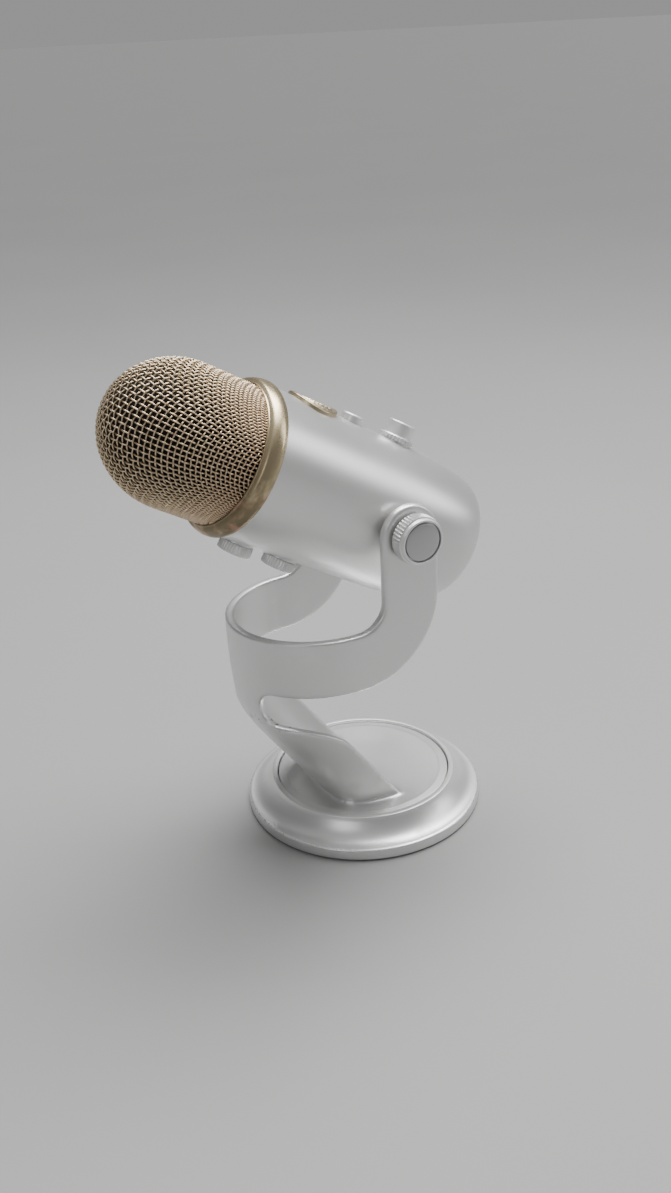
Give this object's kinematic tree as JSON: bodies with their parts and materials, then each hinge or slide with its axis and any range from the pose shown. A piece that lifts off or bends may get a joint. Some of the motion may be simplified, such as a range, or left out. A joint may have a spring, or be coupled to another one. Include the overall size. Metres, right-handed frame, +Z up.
{
  "type": "desktop microphone",
  "caption": "Condenser microphone with a domed wire-mesh grille, tilting between the arms of a U-shaped strap stand on a round weighted base.",
  "frame": {"origin": "centre of the round foot, on the surface it stands on", "axes": "+Z up; +X towards the open side of the strap, where the front controls face; +Y to the far arm of the strap, along the tilt axis"},
  "size_m": [0.1804, 0.12, 0.2449],
  "materials": {
    "cast_silver": "satin silver paint on cast metal",
    "stand_silver": "satin silver paint on a casting",
    "body_silver": "satin silver paint",
    "end_paint": "satin silver paint",
    "soft_foot": "matte closed-cell rubber",
    "screw_steel": "zinc-plated steel",
    "knob_silver": "satin turned metal",
    "cap_grey": "satin turned metal",
    "washer_nylon": "matte nylon",
    "insert_brass": "turned brass",
    "collar_gold": "champagne plating with tarnish",
    "grille_gold": "champagne plated wire mesh",
    "liner_fabric": "dark acoustic cloth",
    "chassis_steel": "zinc-plated sheet",
    "inner_plastic": "matte moulded plastic",
    "capsule_metal": "nickel-plated can",
    "board_green": "solder-masked laminate",
    "socket_metal": "tin-plated shell",
    "socket_plastic": "matte moulded plastic",
    "pot_metal": "pressed steel can",
    "emblem_gold": "satin gold plating",
    "light_clear": "clear moulded light guide"
  },
  "bodies": {
    "stand": {"base_ring": "cast_silver", "base_screws": "screw_steel", "foot_pad": "soft_foot", "yoke_stand": "stand_silver", "knob_washer_near": "washer_nylon", "knob_washer_far": "washer_nylon"},
    "microphone": {"body_shell": "body_silver", "end_plate": "end_paint", "end_screws": "screw_steel", "thread_insert": "insert_brass", "collar_ring": "collar_gold", "grille_mesh": "grille_gold", "grille_liner": "liner_fabric", "chassis_frame": "chassis_steel", "capsule_deck": "inner_plastic", "capsule_tower": "inner_plastic", "capsule_front": "capsule_metal", "capsule_left": "capsule_metal", "capsule_right": "capsule_metal", "main_board": "board_green", "front_board": "board_green", "rear_board": "board_green", "usb_socket": "socket_metal", "headphone_jack": "socket_plastic", "emblem": "emblem_gold", "volume_pot": "pot_metal", "mute_switch": "socket_plastic", "gain_pot": "pot_metal", "pattern_switch": "pot_metal", "pivot_insert_near": "insert_brass", "pivot_insert_far": "insert_brass", "friction_washer_near": "washer_nylon", "friction_washer_far": "washer_nylon"},
    "pivot_knob_near": {"pivot_knob_near": "knob_silver", "pivot_cap_near": "cap_grey", "pivot_stud_near": "screw_steel"},
    "pivot_knob_far": {"pivot_knob_far": "knob_silver", "pivot_cap_far": "cap_grey", "pivot_stud_far": "screw_steel"},
    "volume_knob": {"volume_knob": "knob_silver", "volume_shaft": "pot_metal"},
    "gain_knob": {"gain_knob": "knob_silver", "gain_shaft": "pot_metal"},
    "pattern_knob": {"pattern_knob": "knob_silver", "pattern_shaft": "pot_metal"},
    "mute_button": {"mute_button": "knob_silver", "mute_light": "light_clear"}
  },
  "joints": [
    {"name": "mic_tilt", "type": "hinge", "parent": "stand", "child": "microphone", "pos_m": [0.0065, 0, 0.158], "axis": [0, 1, 0], "range_deg": [-29, 149]},
    {"name": "clamp_knob_near_turn", "type": "hinge", "parent": "microphone", "child": "pivot_knob_near", "pos_m": [0.0065, 0, 0.158], "axis": [0, -1, 0], "range_deg": [0, 360]},
    {"name": "clamp_knob_far_turn", "type": "hinge", "parent": "microphone", "child": "pivot_knob_far", "pos_m": [0.0065, 0, 0.158], "axis": [0, 1, 0], "range_deg": [0, 360]},
    {"name": "volume_turn", "type": "hinge", "parent": "microphone", "child": "volume_knob", "pos_m": [0.02607, 0, 0.19057], "axis": [0.515, 0, 0.8572], "range_deg": [-150, 150]},
    {"name": "gain_turn", "type": "hinge", "parent": "microphone", "child": "gain_knob", "pos_m": [-0.0615, 0, 0.15453], "axis": [-0.515, 0, -0.8572], "range_deg": [-150, 150]},
    {"name": "pattern_turn", "type": "hinge", "parent": "microphone", "child": "pattern_knob", "pos_m": [-0.0405, 0, 0.14191], "axis": [-0.515, 0, -0.8572], "range_deg": [-60, 30]},
    {"name": "mute_press", "type": "slide", "parent": "microphone", "child": "mute_button", "axis": [-0.515, 0, -0.8572], "range_m": [0, 0.001], "stiffness_N_per_m": 1500}
  ]
}
